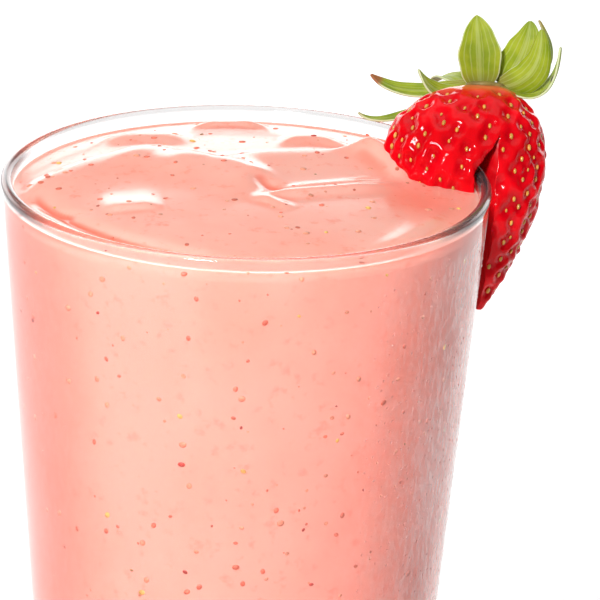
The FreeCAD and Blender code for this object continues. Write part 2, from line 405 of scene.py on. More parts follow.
# %% [markdown]
# Cold drink in warm air puts a mist on the outside of the glass.  It is thin over the front and
# thick where the wall turns away, in fine upright streaks.  Clear glass and a pale mist are mixed
# by a mask made of stretched noise and of how far the wall turns from the eye.  The rounded lip
# bends the dark sides of the room into view; that dark reflection is painted on it as a dark shade
# left and right, and a faint one at the back.
# The mist also glows a little: painted light, standing in for the backdrop's light that it scatters
# forward.

# %% Clear glass with a cold mist
MIST_MOST = 0.85
MIST_GLOW = 0.3
LIP_SHADE = 0.8
REAR_SHADE = 0.3


def misted_glass():
    finish = Finish("misted_clear_glass")
    clear = finish.surface(Base_Color=colour(1, 1, 1), Roughness=0.0, IOR=1.5,
                           Transmission_Weight=1.0)
    streaks = finish.noise(finish.mapped((1, 1, 0.22)), 1500, 4.0, 0.6)
    patches = finish.noise(finish.mapped((1, 1, 0.5)), 60, 3.0)
    turned = finish.node("ShaderNodeLayerWeight", {}, {"Blend": 0.35}, out="Facing")
    across = finish.part(finish.place(), 0)
    up = finish.part(finish.place(), 2)
    side = finish.ramp(across, 0.1 * lip_radius, 0.95 * lip_radius) * 0.75 + 0.25
    below_lip = 1 - finish.ramp(up, lip_height - 9 * MM, lip_height - 2 * MM)
    grain = finish.ramp(streaks, 0.42, 0.62) * 0.6 + finish.ramp(patches, 0.35, 0.65) * 0.4
    cover = grain * side * below_lip * (turned ** 1.5) * MIST_MOST
    # the mist's glow is painted light: the backdrop's light scattered forward through the mist
    mist = finish.surface(Base_Color=colour(1, 1, 1), Roughness=0.6,
                          Emission_Color=colour(1, 1, 1), Emission_Strength=MIST_GLOW)
    mixed = finish.over(cover, clear, mist)
    sideways = finish.without_sign(across)
    depth = finish.part(finish.place(), 1)
    # painted dark shade on the lip, left, right and faint at the back, for the dark room the lip bends
    # into view
    lip_sides_painted_dark = (finish.ramp(sideways, 0.72 * lip_radius, 0.93 * lip_radius)
               * (1 - finish.ramp(depth, 0.12 * lip_radius, 0.42 * lip_radius))
               * finish.ramp(up, lip_height - 2.4 * MM, lip_height - 1.2 * MM))
    lip_back_painted_dark = (finish.ramp(depth, 0.3 * lip_radius, 0.6 * lip_radius)
            * finish.ramp(up, lip_height - 1.0 * MM, lip_height - 0.4 * MM))
    shade = finish.surface(Base_Color=colour(0.035, 0.04, 0.045), Roughness=0.12)
    mixed = finish.over(lip_sides_painted_dark * LIP_SHADE + lip_back_painted_dark * REAR_SHADE, mixed, shade)
    lamp_ray = finish.node("ShaderNodeLightPath", out="Is Shadow Ray")
    let_through = finish.node("ShaderNodeBsdfTransparent", {}, {"Color": colour(0.9, 0.9, 0.9)})
    return finish.done(finish.over(lamp_ray, mixed, let_through))


glass_finish = misted_glass()

# %% Turn the tumbler
lathe = Tree("lathe", "Radius", "Segments")
circle = lathe.node("GeometryNodeCurvePrimitiveCircle", {}, {"Resolution": lathe.given("Segments"),
                                                             "Radius": lathe.given("Radius")})
half_outline = lathe.node("GeometryNodeMeshToCurve", {}, {"Mesh": lathe.given("Geometry")})
swept = lathe.node("GeometryNodeCurveToMesh", {}, {"Curve": circle.outputs[0],
                                                   "Profile Curve": half_outline.outputs[0]})
welded = lathe.node("GeometryNodeMergeByDistance", {}, {"Geometry": swept.outputs[0],
                                                        "Distance": 0.002 * MM})
lathe.finish(welded.outputs[0], glass_finish)

arm = 30 * MM
outline_mesh = bpy.data.meshes.new("tumbler")
outline_mesh.from_pydata([(r - arm, -z, 0) for r, z in outline],
                         [(i, i + 1) for i in range(len(outline) - 1)], [])
tumbler = add_piece("tumbler", outline_mesh)
grow(tumbler, lathe, Radius=arm, Segments=480)


def face_out(mesh):
    """Turns every face outward."""
    work = bmesh.new()
    work.from_mesh(mesh)
    bmesh.ops.recalc_face_normals(work, faces=work.faces)
    work.to_mesh(mesh)
    work.free()


face_out(tumbler.data)
keep(tumbler, "glass", "glass")

# %% [markdown]
# ## The drink
#
# Blended strawberries and yoghurt make a thick pink drink that keeps the folds of its pouring.  A
# noise would give waves like water, so each fold is laid one by one as a ridge between two places,
# bowed sideways, steep behind and shallow in front.  The body of the drink reaches a hair into the
# glass, because a liquid wets its glass and no air shows between the two.

# %% The surface of the drink
EDGE_DROP = 3.1 * MM
MIDDLE_DROP = 0.9 * MM
HEAP_SHAPE = 2.6
CALM_WIDTH = 4.3 * MM
WETTING = 0.35 * MM
WETTING_WIDTH = 0.7 * MM
# where, how far and how strongly red light bounced from the berry is painted on the drink
BERRY_BOUNCE_PLACE = (31.0, -4.5)
BERRY_BOUNCE_REACH = 9.5
BERRY_BOUNCE_MOST = 0.7
CREASE_DEPTH = 0.32 * MM
CREASE_CLEAR = 2.5 * MM
INTO_WALL = 0.25 * MM

# start, end, bow, height, front slope width, back slope width, in millimetres from the axis
FOLDS = [
    ((-38.5, -3.0), (-20.0, 17.5), 1.0, 1.2, 8.0, 2.2),
    ((-22.0, 17.2), (-9.0, 14.0), 0.6, 1.0, 9.0, 2.8),
    ((-12.0, 12.8), (3.0, 0.5), 1.7, 1.5, 9.0, 3.6),
    ((2.0, 3.5), (5.5, -3.5), -0.5, -0.7, 2.0, 2.0),
    ((3.5, -6.5), (25.0, 2.5), -0.5, 0.9, 2.6, 1.6),
    ((1.8, -8.0), (7.5, -12.5), 0.3, 0.5, 1.6, 1.6),
    ((8.0, -1.5), (24.5, 5.5), 0.0, 0.35, 1.2, 1.2),
    ((-2.0, 13.5), (25.0, 20.0), 0.8, 1.3, 9.0, 2.5),
    ((-24.5, -14.3), (-16.0, -12.9), -0.3, 0.7, 1.6, 5.0),
    ((-37.5, -7.5), (-29.0, -16.0), -2.0, -0.4, 1.5, 1.5),
    ((-35.0, -11.0), (-8.0, -35.5), -3.6, -1.1, 1.5, 2.2),
    ((23.5, -29.9), (34.1, -9.6), -1.0, 0.5, 1.5, 2.5),
    ((-26.0, 27.5), (-12.0, 27.0), 0.8, 1.0, 4.5, 2.5),
    ((-9.0, 38.5), (2.0, 39.0), 1.5, 1.6, 3.0, 2.4),
    ((6.5, 26.5), (17.0, 26.5), 2.5, 1.0, 3.5, 3.0),
    ((17.8, 26.0), (25.0, 14.0), 0.5, 0.6, 1.8, 2.0),
    ((20.0, 21.0), (29.5, 9.5), 1.0, 2.6, 3.4, 4.0),
]


def fold(x, y, start, end, bow, height, front, back):
    """Height of one ridge at places x, y in millimetres."""
    dx = end[0] - start[0]
    dy = end[1] - start[1]
    length = math.hypot(dx, dy)
    along = ((x - start[0]) * dx + (y - start[1]) * dy) / length ** 2
    across = ((y - start[1]) * dx - (x - start[0]) * dy) / length
    across = across - 4 * bow * along * (1 - along)
    width = np.where(across > 0, back, front)
    fade = smooth((along + 0.25) / 0.5) * smooth((1.25 - along) / 0.5)
    return height * fade * np.exp(-(across / width) ** 2)


def surface_height(x, y):
    """Height of the drink at places x, y in metres: a low heap with its folds, wet to the wall."""
    inside = inner_radius(lip_height - EDGE_DROP)
    out = np.hypot(x, y)
    height = lip_height - EDGE_DROP + (EDGE_DROP - MIDDLE_DROP) * (1 - (out / inside) ** HEAP_SHAPE)
    calm = smooth((inside - out) / CALM_WIDTH)
    for row in FOLDS:
        height = height + calm * MM * fold(x / MM, y / MM, *row)
    return height + WETTING * np.exp(-np.clip(inside - out, 0, inside) / WETTING_WIDTH)


def hollowness(x, y):
    """0 on open surface, 1 in the bottom of a crease, from the heights round each place."""
    around = [surface_height(x + dx * MM, y + dy * MM)
              for dx, dy in ((2, 0), (-2, 0), (0, 2), (0, -2), (1.4, 1.4), (-1.4, -1.4),
                             (1.4, -1.4), (-1.4, 1.4))]
    crease = smooth((np.mean(around, 0) - surface_height(x, y)) / CREASE_DEPTH)
    return crease * smooth((inner_radius(lip_height - EDGE_DROP) - np.hypot(x, y)) / CREASE_CLEAR)


def painted_berry_bounce(x, y):
    """How much painted red light, bounced from the berry, lies on the drink, most beside the berry."""
    away = np.hypot(x / MM - BERRY_BOUNCE_PLACE[0], y / MM - BERRY_BOUNCE_PLACE[1])
    return BERRY_BOUNCE_MOST * np.exp(-(away / BERRY_BOUNCE_REACH) ** 2)


# %% The body of the drink
ROUND = 300
TOP_RINGS = 130
SIDE_RINGS = 60


def drink_rows():
    """Closed rows of points: in from the rim to the middle on top, then down the side."""
    turns = np.linspace(0, 2 * math.pi, ROUND, endpoint=False)
    rim = inner_radius(lip_height - EDGE_DROP) + INTO_WALL
    shares = np.linspace(0.004, 1, TOP_RINGS) ** 0.85
    rows = []
    for share in shares:
        x = rim * share * np.cos(turns)
        y = rim * share * np.sin(turns)
        rows.append(np.stack([x, y, surface_height(x, y)], 1))
    top = rows[-1][:, 2]
    low = BOTTOM + INNER_ROUND
    for step in np.linspace(0, 1, SIDE_RINGS)[1:]:
        z = top + (low - top) * step
        reach = inner_radius(z) + INTO_WALL
        rows.append(np.stack([reach * np.cos(turns), reach * np.sin(turns), z], 1))
    side = inner_radius(low) - INNER_ROUND
    for a in np.radians(np.linspace(0, -90, 10)[1:]):
        reach = side + (INNER_ROUND + INTO_WALL) * math.cos(a)
        z = low + (INNER_ROUND + INTO_WALL) * math.sin(a)
        rows.append(np.stack([reach * np.cos(turns), reach * np.sin(turns), np.full(ROUND, z)], 1))
    return np.array(rows)


body_rows = drink_rows()
print("drink between", np.round(body_rows[..., 2].min() / MM, 1), "and",
      np.round(body_rows[..., 2].max() / MM, 1), "mm")

# %% [markdown]
# The drink is a pale pink with light soaking a little way in, mottled by pulp: broad soft clouds,
# and grains a millimetre across.  Painted shade makes it redder and darker in its creases, and
# painted red light bounced from the berry reddens it beside the berry.  Its top is wet, so it is
# glossy; against the glass there is no air, so the side has no gloss of its own; the side is painted
# a tone darker as shade, and darker again where the wall turns away.

# %% Smoothie colour


def smoothie_finish(name, gloss, painted_shade_tone, painted_edge_shade):
    finish = Finish(name)
    clouds = finish.noise(finish.mapped((1, 1, 0.7)), 45, 3.0)
    pulp = finish.noise(finish.place(), 420, 3.0, 0.6)
    grain = finish.noise(finish.place(), 1300, 2.0)
    # a tone below 1 paints the side darker, as shade
    pale = colour(0.99, 0.46 * painted_shade_tone, 0.37 * painted_shade_tone)
    pink = colour(0.98, 0.40 * painted_shade_tone, 0.31 * painted_shade_tone)
    deep = colour(0.93, 0.26, 0.18)
    base = finish.mix(finish.ramp(clouds, 0.35, 0.68), pale, pink)
    base = finish.mix(finish.ramp(pulp, 0.55, 0.75) * 0.55, base, deep)
    # painted shade in the creases and painted red light bounced from the berry, both laid as deep red
    crease_shade_and_berry_bounce = finish.mark("crease_shade_and_berry_bounce")
    base = finish.mix(crease_shade_and_berry_bounce * 0.8, base, colour(0.90, 0.17, 0.10))
    # painted shade: the side darker where it turns from the eye
    if painted_edge_shade:
        turned = finish.node("ShaderNodeLayerWeight", {}, {"Blend": 0.5}, out="Facing")
        base = finish.mix(finish.ramp(turned, 0.10, 0.24) * painted_edge_shade, base,
                          colour(0.78, 0.20, 0.145))
    relief = pulp * 0.5 + grain * 0.3
    skin = finish.surface(Base_Color=base, Roughness=gloss, IOR=1.38, Subsurface_Weight=0.35,
                          Subsurface_Radius=(1.0, 0.45, 0.35), Subsurface_Scale=3.0 * MM,
                          Normal=finish.bump(relief, 0.12, 0.25 * MM))
    return finish.done(skin)


wet_top = smoothie_finish("wet_smoothie", gloss=0.16, painted_shade_tone=1.0, painted_edge_shade=0.0)
# the side: less gloss, and painted a tone darker with darker edges as shade
under_glass = smoothie_finish("smoothie_against_glass", gloss=0.7, painted_shade_tone=0.87, painted_edge_shade=0.8)
drink_mesh = closed_tube("smoothie_body", body_rows)
drink = add_piece("smoothie_body", drink_mesh, wet_top, under_glass)
for polygon in drink_mesh.polygons:
    row = min(polygon.vertices) // ROUND
    polygon.material_index = 1 if TOP_RINGS - 1 <= row < len(body_rows) else 0
flat_rows = body_rows.reshape(-1, 3)
# painted shade in the creases and painted red bounce from the berry, kept on the points
crease_shade_and_berry_bounce = np.maximum(hollowness(flat_rows[:, 0], flat_rows[:, 1]),
                    painted_berry_bounce(flat_rows[:, 0], flat_rows[:, 1]))
crease_shade_and_berry_bounce[TOP_RINGS * ROUND - 3 * ROUND:] = 0
mark_points(drink_mesh, "crease_shade_and_berry_bounce", list(crease_shade_and_berry_bounce) + [0.0, 0.0])
keep(drink, "smoothie", "smoothie")

# %% [markdown]
# ### Flecks of fruit
#
# Skin, pulp and pips of the berries show as flecks from a grain to over a millimetre, red, orange,
# yellow and brown, more of the small than of the large.  They are lumps half sunk in the drink.
# Each kind is one mesh, grown over a copy of the drink's surface with its own seed.

# %% Grow the flecks


def plain_finish(name, tint, roughness, coat=0.0):
    finish = Finish(name)
    shade = finish.noise(finish.place(), 700, 2.0)
    darker = colour(*[0.6 * part for part in tint[:3]])
    return finish.done(finish.surface(Base_Color=finish.mix(finish.ramp(shade, 0.3, 0.7), darker, tint),
                                      Roughness=roughness, Coat_Weight=coat))


# the drink's top and side, without its bottom
fleck_ground = part_of(drink.data, "fleck_ground", lambda middle: middle.z >= BOTTOM + 2 * MM)
FLECKS = [
    # name, colour, spacing mm, per square metre, smallest and largest half width mm, flatness, length
    ("red_flecks", colour(0.86, 0.19, 0.11), 2.5, 16000, 0.12, 0.55, 0.4, 1.3),
    ("dark_red_flecks", colour(0.60, 0.05, 0.03), 10.0, 2200, 0.16, 0.50, 0.4, 1.4),
    ("orange_flecks", colour(0.96, 0.36, 0.22), 3.0, 14000, 0.14, 0.62, 0.35, 1.2),
    ("yellow_pips", colour(0.92, 0.55, 0.13), 12.0, 1800, 0.25, 0.55, 0.5, 1.3),
    ("brown_pips", colour(0.38, 0.20, 0.06), 16.0, 800, 0.14, 0.34, 0.5, 1.5),
]
for seed, (name, tint, spacing, density, small, large, flat, length) in enumerate(FLECKS):
    tree = scatter_tree(name, plain_finish(name + "_tint", tint, 0.45), 8, 5)
    flecks = add_piece(name, fleck_ground.copy())
    grow(flecks, tree, Spacing=spacing * MM, Density=float(density), Smallest=small * MM,
         Largest=large * MM, Flatness=flat, Length=length, Seed=seed + 3)
    keep(flecks, "smoothie")

# %% [markdown]
# ## The strawberry
#
# A strawberry's skin swells between its pips, and each pip sits in its own pit.  The body is a ring
# swept from tip to crown, fuller on the side that dips in the drink.  Pips go up it in a golden
# spiral, as on the fruit, and the same places press the pits into the skin.

# %% Where the berry sits
TURN = math.radians(20.0)
LEAN = math.radians(26.5)
SPLAY = math.radians(11.6)
BERRY_LENGTH = 41.6
BERRY_OUTER = 10.5
BERRY_INNER = 19.8
BERRY_HALF_DEPTH = 13.6
BERRY_BELLY = 1.61
BERRY_BLUNTNESS = 0.46
BERRY_LAST = 0.984
TIP_ALONG = -8.6
TIP_DROP = 26.2
TIP_OUT = 0.6
SLIT_FACE = 0.3
SLIT_INNER = 3.7
SLIT_RISE = 6.6
SLIT_FLARE = 2.0
SLIT_SEAT = 0.3


def at_slit(along, outward, up):
    """A place along the lip, outward of it and above it, in millimetres, as metres."""
    n = lip_radius / MM + outward
    return Vector((n * math.cos(TURN) - along * math.sin(TURN),
                   n * math.sin(TURN) + along * math.cos(TURN), lip_height / MM + up)) * MM


tip = at_slit(TIP_ALONG, SLIT_FACE + TIP_OUT - taper * TIP_DROP, -TIP_DROP)
berry_turn = (Matrix.Rotation(TURN, 4, "Z") @ Matrix.Rotation(SPLAY, 4, "Y")
              @ Matrix.Rotation(-LEAN, 4, "X"))
berry_place = Matrix.Translation(tip) @ berry_turn
crown = berry_place @ (Vector((-0.09 * BERRY_OUTER, 0, BERRY_LAST * BERRY_LENGTH)) * MM)
print("crown at", [round(v / MM, 1) for v in crown])

# %% The berry's body, with pits
STATIONS = 230
AROUND = 290
PIPS = 250
PIT_DEPTH = 0.78
PIT_WIDTH = 1.3


def fullness(u):
    return np.sin(math.pi * np.clip(u, 0, 1) ** BERRY_BELLY) ** BERRY_BLUNTNESS


def berry_point(u, turn):
    """Places on the smooth berry in millimetres, standing on its tip."""
    full = fullness(u)
    reach = np.where(np.cos(turn) > 0, BERRY_OUTER, BERRY_INNER)
    lumps = 1 + 0.012 * np.sin(3 * turn + 5 * u) + 0.010 * np.sin(5 * turn - 9 * u)
    return np.stack([reach * full * np.cos(turn) * lumps,
                     BERRY_HALF_DEPTH * full * np.sin(turn) * lumps, BERRY_LENGTH * u], -1)


def pip_places():
    """Station and turn of each pip, evenly spread over the skin by a golden spiral."""
    u = np.linspace(0.03, 0.955, 400)
    ring = berry_point(u, np.zeros_like(u))
    run = np.hypot(np.gradient(ring[:, 0]), np.gradient(ring[:, 2]))
    share = np.cumsum(fullness(u) * run)
    share = (share - share[0]) / (share[-1] - share[0])
    count = np.arange(PIPS)
    dice = np.random.default_rng(11)
    stations = np.interp((count + 0.5) / PIPS, share, u) + dice.normal(0, 0.006, PIPS)
    turns = count * math.pi * (3 - math.sqrt(5)) + dice.normal(0, 0.05, PIPS)
    return stations, np.mod(turns, 2 * math.pi)


pip_u, pip_turn = pip_places()
pips = berry_point(pip_u, pip_turn)
u_grid = 0.5 - 0.5 * np.cos(np.linspace(0.12, math.pi - 0.2, STATIONS))
turn_grid = np.linspace(0, 2 * math.pi, AROUND, endpoint=False)
uu, tt = np.meshgrid(u_grid, turn_grid, indexing="ij")
skin = berry_point(uu, tt)
along_step = np.gradient(skin, axis=0)
round_step = np.roll(skin, -1, 1) - np.roll(skin, 1, 1)
outward = np.cross(round_step, along_step)
outward /= np.linalg.norm(outward, axis=-1, keepdims=True)
depth = np.zeros(skin.shape[:2])
for place in pips:
    gap = skin - place
    gap[..., 2] *= 0.8
    reach = np.sqrt((gap ** 2).sum(-1))
    depth += np.exp(-(reach / PIT_WIDTH) ** 3)
depth = np.minimum(depth, 1.05)
puff = 0.12 * np.sin(1.9 * skin[..., 0]) * np.sin(1.7 * skin[..., 1] + 1) * np.sin(1.5 * skin[..., 2])
ease = smooth((1 - uu) / 0.08) * smooth(uu / 0.05)
skin = skin + outward * ((puff - PIT_DEPTH * depth) * ease)[..., None]
print(PIPS, "pits,", PIT_DEPTH, "mm deep")

# %% [markdown]
# Ripe skin is a deep clear red with a wet shine, paler and orange at the shoulder under the cap,
# and painted darker in its pits as shade.  The cut flesh of the slit is smooth, and its red is partly
# its own and partly painted darker as the shade in the slit.  The colour follows the berry's own
# length, kept as an attribute on the mesh, because the berry leans and object coordinates do not.

# %% Berry finishes


def berry_skin():
    finish = Finish("ripe_strawberry_skin")
    station = finish.mark("station")
    pit = finish.mark("pit")
    blush = finish.noise(finish.place(), 160, 3.0)
    fine = finish.noise(finish.place(), 1800, 2.0)
    red = finish.mix(finish.ramp(blush, 0.35, 0.7), colour(0.66, 0.001, 0.005),
                     colour(0.88, 0.002, 0.009))
    shoulder = finish.ramp(station + blush * 0.05, 0.945, 1.0)
    red = finish.mix(shoulder, red, colour(0.80, 0.16, 0.05))
    # pits painted darker, as the shade inside them
    red = finish.mix(pit * 0.55, red, colour(0.46, 0.0, 0.006))
    return finish.done(finish.surface(
        Base_Color=red, Roughness=0.13, Specular_IOR_Level=0.12, Subsurface_Weight=0.1,
        Subsurface_Radius=(1.0, 0.08, 0.05), Subsurface_Scale=1.5 * MM, Coat_Weight=0.12,
        Coat_Roughness=0.05, Normal=finish.bump(fine, 0.10, 0.08 * MM)))


def berry_flesh():
    finish = Finish("cut_strawberry_flesh")
    fibres = finish.noise(finish.mapped((1, 1, 0.3)), 900, 3.0)
    # the flesh's red is partly its own and partly painted darker, as the shade in the slit
    red = finish.mix(finish.ramp(fibres, 0.3, 0.75), colour(0.52, 0.0, 0.004),
                     colour(0.66, 0.002, 0.006))
    return finish.done(finish.surface(
        Base_Color=red, Roughness=0.35, Specular_IOR_Level=0.2, Subsurface_Weight=0.1,
        Subsurface_Radius=(1.0, 0.15, 0.1), Subsurface_Scale=1.5 * MM,
        Normal=finish.bump(fibres, 0.15, 0.1 * MM)))


skin_red = berry_skin()
flesh_red = berry_flesh()

# %% Close the berry and cut its slit
berry_mesh = closed_tube("strawberry_body", skin * MM)
mark_points(berry_mesh, "station", list(uu.ravel()) + [0.0, 1.0])
mark_points(berry_mesh, "pit", list(depth.ravel()) + [0.0, 0.0])
berry_mesh.transform(berry_place)
berry = add_piece("strawberry_body", berry_mesh, skin_red)
face_out(berry_mesh)


def slit_cutter():
    """The slit: as wide as the wall at the lip, closing above it, open below."""
    deep = TIP_DROP + 8
    outline_points = [(-SLIT_INNER - taper * deep, -deep), (-SLIT_INNER, SLIT_SEAT),
                      (SLIT_FLARE, SLIT_RISE), (SLIT_FACE, SLIT_SEAT),
                      (SLIT_FACE - taper * deep, -deep)]
    count = len(outline_points)
    points = [at_slit(side * 2 * BERRY_HALF_DEPTH, n, z) for side in (-1, 1) for n, z in outline_points]
    faces = [tuple(range(count)), tuple(range(2 * count - 1, count - 1, -1))]
    faces += [(i, i + count, (i + 1) % count + count, (i + 1) % count) for i in range(count)]
    mesh = bpy.data.meshes.new("slit_cutter")
    mesh.from_pydata(points, [], faces)
    return mesh


def wall_cutter():
    """The wall and lip with a little room round them, as a closed ring."""
    room = SLIT_SEAT * MM
    top = lip_height + room
    low = lip_height - (TIP_DROP + 8) * MM
    section = [(outer_radius(low) + room, low), (lip_radius + 0.9 * room, top - LIP_DEPTH),
               (lip_radius - 0.2 * room, top), (lip_radius - WALL - LIP_ROLL - room, top),
               (inner_radius(low) - room, low)]
    turns = np.linspace(0, 2 * math.pi, 180, endpoint=False)
    points = []
    for r, z in section:
        points += [(r * math.cos(a), r * math.sin(a), z) for a in turns]
    faces = ring_faces(len(section), 180)
    last = (len(section) - 1) * 180
    faces += [(last + j, last + (j + 1) % 180, (j + 1) % 180, j) for j in range(180)]
    mesh = bpy.data.meshes.new("wall_cutter")
    mesh.from_pydata(points, [], faces)
    return mesh


def carve(piece, cutter_mesh):
    """Takes a closed cutter out of a piece; the cut takes the cutter's material."""
    face_out(cutter_mesh)
    cutter = add_piece(cutter_mesh.name, cutter_mesh, flesh_red)
    cut = piece.modifiers.new("cut", "BOOLEAN")
    cut.operation = "DIFFERENCE"
    cut.solver = "EXACT"
    cut.material_mode = "TRANSFER"
    cut.object = cutter
    settle(piece)
    bpy.data.objects.remove(cutter)


carve(berry, slit_cutter())
carve(berry, wall_cutter())
keep(berry, "strawberry", "strawberry")

# %% [markdown]
# ### Pips
#
# Each pip is a small golden teardrop lying in its pit, pointing to the tip.  A Geometry Nodes tree
# puts one on every point of a point mesh that carries two directions: out of the skin, and along it.

# %% Grow the pips


def pip_points():
    """A mesh of points in the pits, with the two directions of each pip."""
    near = berry_point(pip_u + 0.01, pip_turn) - berry_point(pip_u - 0.01, pip_turn)
    beside = berry_point(pip_u, pip_turn + 0.02) - berry_point(pip_u, pip_turn - 0.02)
    out = np.cross(beside, near)
    out /= np.linalg.norm(out, axis=1, keepdims=True)
    near /= np.linalg.norm(near, axis=1, keepdims=True)
    spots = pips - out * (PIT_DEPTH - 0.12)
    rows = []
    spin = berry_place.to_3x3()
    lip_place = at_slit(0, 0, 0)
    across_wall = Vector((math.cos(TURN), math.sin(TURN), 0))
    outer_room = 0.5
    inner_room = 1.0
    for spot, up, run in zip(spots, out, near):
        place = berry_place @ (Vector(spot) * MM)
        n = (place - lip_place).dot(across_wall) / MM
        z = (place.z - lip_height) / MM
        outer_lean = taper if z < 0 else SLIT_FLARE / SLIT_RISE
        inner_lean = taper if z < 0 else (SLIT_INNER + SLIT_FLARE) / SLIT_RISE
        outer_face = SLIT_FACE + outer_room + outer_lean * z
        inner_face = -SLIT_INNER - inner_room + inner_lean * z
        if z < SLIT_RISE and inner_face < n < outer_face:
            continue
        rows.append((place, spin @ Vector(up), spin @ Vector(run)))
    mesh = bpy.data.meshes.new("pips")
    mesh.from_pydata([row[0] for row in rows], [], [])
    mark_points(mesh, "out", [row[1] for row in rows])
    mark_points(mesh, "along", [row[2] for row in rows])
    return mesh


def pip_tree(material):
    tree = Tree("pips", "Length Width Thickness", "Seed")
    points = tree.node("GeometryNodeMeshToPoints", {}, {"Mesh": tree.given("Geometry"), "Radius": 0.0})
    ball = tree.node("GeometryNodeMeshUVSphere", {}, {"Segments": 8, "Rings": 6, "Radius": 1.0})
    out = tree.node("GeometryNodeInputNamedAttribute", {"data_type": "FLOAT_VECTOR"}, {"Name": "out"})
    run = tree.node("GeometryNodeInputNamedAttribute", {"data_type": "FLOAT_VECTOR"}, {"Name": "along"})
    stand = tree.node("FunctionNodeAlignRotationToVector", {"axis": "Z"}, {"Vector": out.outputs[0]})
    aim = tree.node("FunctionNodeAlignRotationToVector", {"axis": "X", "pivot_axis": "Z"},
                    {"Rotation": stand.outputs[0], "Vector": run.outputs[0]})
    shape = [tree.given(label) for label in ("Length", "Width", "Thickness")]
    lay_lumps(tree, points, ball, shape, aim, (0.6, 1.15), material)
    return tree


golden = plain_finish("golden_pip", colour(0.80, 0.40, 0.06), 0.3, 0.3)
pip_piece = add_piece("strawberry_pips", pip_points())
grow(pip_piece, pip_tree(golden), Length=0.55 * MM, Width=0.33 * MM, Thickness=0.26 * MM, Seed=5)
keep(pip_piece, "strawberry")

# %% [markdown]
# ## The green cap
#
# The cap's leaves spread and curl as they dry.  Each is a sheet with a midrib through three places,
# cupped across, pointed at its end, and given a thickness.  One leaf is folded along its midrib, so
# its near half is a sheet of its own, the last row.  A cloth simulation would be slower and would
# not hit these poses, so the curves are listed.

# %% Leaf shapes
CAP_RADIUS = 4.6
CAP_THICKNESS = 1.0
LEAF_THICKNESS = 0.42
# base, middle and tip of the midrib from the crown, the way across it, widest, cupping, dry tip
LEAVES = [
    ((-0.7, -1.0, 1.4), (-1.2, -1.0, 7.9), (-1.9, 1.0, 13.9), (1, 0, 0), 8.0, -0.12, 0.05),
    ((3.0, -0.5, 0.9), (6.6, -0.9, 7.1), (8.0, 1.0, 13.1), (0.8, -0.5, -0.3), 8.0, 0.1, 0.0),
    ((3.4, 2.0, -0.2), (11.9, 4.0, 3.7), (9.7, 5.0, 12.1), (0.2, 1, 0), 5.4, 0.2, 0.4),
    ((3.2, -1.8, 1.6), (10.8, -3.2, 1.1), (13.5, -2.5, 9.4), (0.1, 1, 0.2), 5.0, 0.2, 0.1),
    ((-3.4, -0.5, 0.9), (-13.7, 1.5, -1.2), (-20.8, 2.5, 1.5), (0, 1, 0.3), 4.6, -0.2, 1.0),
    ((-2.6, -2.0, 1.6), (-8.2, -3.4, 0.3), (-12.3, -3.5, 4.6), (0.2, 1, 0.3), 4.6, -0.2, 0.2),
    ((-3.4, 1.2, 0.2), (-15.8, 1.6, -6.3), (-22.8, 1.4, -5.6), (0, 1, 0.2), 2.4, -0.2, 0.3),
    ((-3.1, 2.0, 0.0), (-6.3, 5.5, 0.5), (-9.3, 9.0, -2.1), (0.7, 0.6, 0), 6.0, -0.2, 0.1),
    ((2.9, -1.4, 0.9), (8.6, -3.2, 4.9), (10.0, -0.4, 12.0), (0.8, -0.3, -0.5), 6.0, 0.4, 0.0),
]
LEAF_ALONG = 36
LEAF_ACROSS = 15
LEAF_BLUNTNESS = 0.66
DRY_FROM = 0.72
SPOTTED_LEAF = 3
SPOT_ALONG = 0.70


def leaf_sheet(base, middle, tip_end, across, width, cup, dry, index):
    """Points, leaf coordinates, dryness and dark spot of one leaf."""
    p0, p1, p2 = [np.array(crown) / MM + np.array(p, float) for p in (base, middle, tip_end)]
    control = 2 * p1 - 0.5 * (p0 + p2)
    points, places, dryness, spots = [], [], [], []
    for i in range(LEAF_ALONG):
        s = i / (LEAF_ALONG - 1)
        centre = p0 * (1 - s) ** 2 + control * 2 * s * (1 - s) + p2 * s ** 2
        run = (control - p0) * 2 * (1 - s) + (p2 - control) * 2 * s
        run = run / np.linalg.norm(run)
        side = np.array(across, float)
        side = side - run * side.dot(run)
        side /= np.linalg.norm(side)
        out = np.cross(run, side)
        half = 0.5 * width * max(0.03, math.sin(math.pi * (0.1 + 0.9 * s) ** 0.85) ** LEAF_BLUNTNESS)
        half *= 1 + 0.03 * math.sin(17 * s + 3 * index)
        for j in range(LEAF_ACROSS):
            v = 2 * j / (LEAF_ACROSS - 1) - 1
            vein = 0.10 * math.exp(-(v / 0.1) ** 2) + 0.05 * math.cos(9 * v) * (1 - abs(v))
            ripple = 0.10 * math.sin(9 * s + 2 * index + 2 * v) * abs(v)
            lift = cup * half * v * v - vein + ripple * min(1, half)
            points.append(centre + side * half * v + out * lift)
            places.append((s, 0.5 + 0.5 * v))
            dryness.append(dry * float(smooth((s - DRY_FROM) / (1 - DRY_FROM))))
            spot = math.exp(-((s - SPOT_ALONG) / 0.055) ** 2 - (v / 0.45) ** 2)
            spots.append(spot if index == SPOTTED_LEAF else 0.0)
    return points, places, dryness, spots


